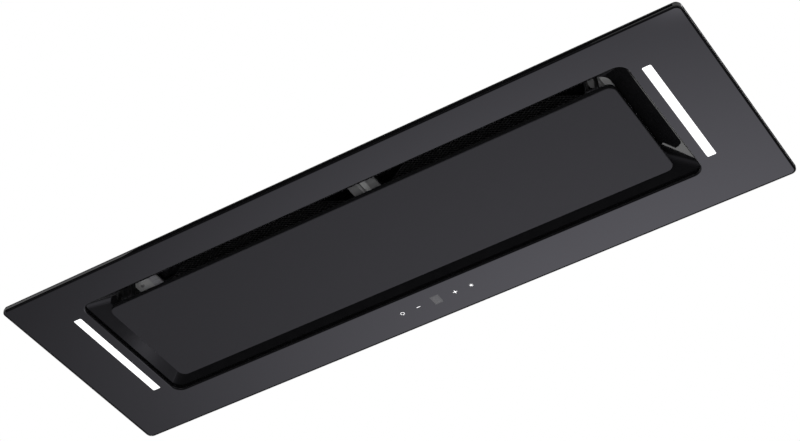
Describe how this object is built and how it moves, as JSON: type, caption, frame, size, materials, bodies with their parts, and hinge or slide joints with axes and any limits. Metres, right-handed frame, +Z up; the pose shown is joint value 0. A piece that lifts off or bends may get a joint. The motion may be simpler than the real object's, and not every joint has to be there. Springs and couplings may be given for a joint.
{
  "type": "undermount range hood",
  "caption": "Undermount range hood with a black glass fascia, a hinged suction panel, end lamps, touch keys, grease filters, a blower in a scroll and a top duct outlet",
  "frame": {"origin": "centre of the fascia's lower glass face, which is also the middle of the overall box's underside", "axes": "+X along the fascia to the user's right, +Y to the wall, +Z up into the cabinet"},
  "size_m": [0.9, 0.292, 0.23],
  "materials": {
    "black_glass": "clear toughened float glass, printed black behind",
    "black_adhesive": "black adhesive layer",
    "black_steel": "black powder coat",
    "black_enamel": "glossy black enamel",
    "zinc_sheet": "zinc-plated sheet",
    "galvanised_sheet": "galvanised sheet with spangle",
    "aluminium": "satin aluminium",
    "filter_mesh": "layered aluminium mesh",
    "milky_acrylic": "opal acrylic",
    "white_board": "white solder resist",
    "green_board": "green solder resist",
    "black_plastic": "moulded, fine texture",
    "grey_plastic": "moulded, fine texture",
    "foam": "closed-cell foam",
    "rubber": "moulded rubber",
    "bright_steel": "turned steel",
    "magnet": "nickel-plated magnet",
    "brass_bush": "sintered bronze",
    "can_plastic": "white moulded can"
  },
  "bodies": {
    "hood": {"fascia_glass": "black_glass", "fascia_bond": "black_adhesive", "fascia_frame": "black_steel", "cabinet_seal": "foam", "intake_funnel": "black_enamel", "filter_deck": "zinc_sheet", "lamp_diffuser_left": "milky_acrylic", "lamp_diffuser_right": "milky_acrylic", "lamp_channel_left": "aluminium", "lamp_channel_right": "aluminium", "led_strip_left": "white_board", "led_strip_right": "white_board", "touch_board": "green_board", "key_pads": "foam", "display_module": "black_plastic", "touch_cover": "black_plastic", "filter_frame_left": "aluminium", "filter_frame_right": "aluminium", "filter_mesh_left": "filter_mesh", "filter_mesh_right": "filter_mesh", "latch_spring_left": "bright_steel", "latch_spring_right": "bright_steel", "hinge_bracket_left": "black_steel", "hinge_bracket_right": "black_steel", "hinge_pin_left": "bright_steel", "hinge_pin_right": "bright_steel", "catch_holders": "black_plastic", "catch_magnets": "magnet", "body_box": "galvanised_sheet", "blower_cover": "galvanised_sheet", "scroll_wrap": "galvanised_sheet", "scroll_cheek_left": "galvanised_sheet", "scroll_cheek_right": "galvanised_sheet", "motor_carrier": "galvanised_sheet", "bearing_carrier": "galvanised_sheet", "end_bearing": "brass_bush", "motor_bushes": "rubber", "motor_housing": "black_steel", "capacitor": "can_plastic", "capacitor_clip": "zinc_sheet", "outlet_spigot": "black_plastic", "damper_rod": "bright_steel", "control_case": "grey_plastic", "control_lid": "grey_plastic", "power_board": "green_board", "cable_gland": "black_plastic", "cabinet_brackets": "zinc_sheet", "assembly_screws": "zinc_sheet"},
    "panel": {"panel_glass": "black_glass", "panel_adhesive": "black_adhesive", "panel_tray": "black_steel", "panel_stiffeners": "black_steel", "hinge_arm_left": "black_steel", "hinge_arm_right": "black_steel"},
    "latch_left": {"filter_latch_left": "black_plastic"},
    "latch_right": {"filter_latch_right": "black_plastic"},
    "blower_wheel": {"impeller": "grey_plastic", "impeller_shaft": "bright_steel"},
    "flap_front": {"damper_flap_front": "black_plastic"},
    "flap_rear": {"damper_flap_rear": "black_plastic"}
  },
  "joints": [
    {"name": "panel_swing", "type": "hinge", "parent": "hood", "child": "panel", "pos_m": [0, 0.0775, 0.0112], "axis": [1, 0, 0], "range_deg": [0, 90]},
    {"name": "latch_slide_left", "type": "slide", "parent": "hood", "child": "latch_left", "axis": [0, 1, 0], "range_m": [0, 0.005], "stiffness_N_per_m": 300, "springref_m": -0.003, "deforming": ["latch_spring_left"]},
    {"name": "latch_slide_right", "type": "slide", "parent": "hood", "child": "latch_right", "axis": [0, 1, 0], "range_m": [0, 0.005], "stiffness_N_per_m": 300, "springref_m": -0.003, "deforming": ["latch_spring_right"]},
    {"name": "wheel_spin", "type": "hinge", "parent": "hood", "child": "blower_wheel", "pos_m": [0, -0.062, 0.126], "axis": [-1, 0, 0], "continuous": true},
    {"name": "flap_front_swing", "type": "hinge", "parent": "hood", "child": "flap_front", "pos_m": [0, -0.096, 0.2028], "axis": [-1, 0, 0], "range_deg": [0, 75]},
    {"name": "flap_rear_swing", "type": "hinge", "parent": "hood", "child": "flap_rear", "pos_m": [0, -0.096, 0.2028], "axis": [1, 0, 0], "range_deg": [0, 75]}
  ]
}
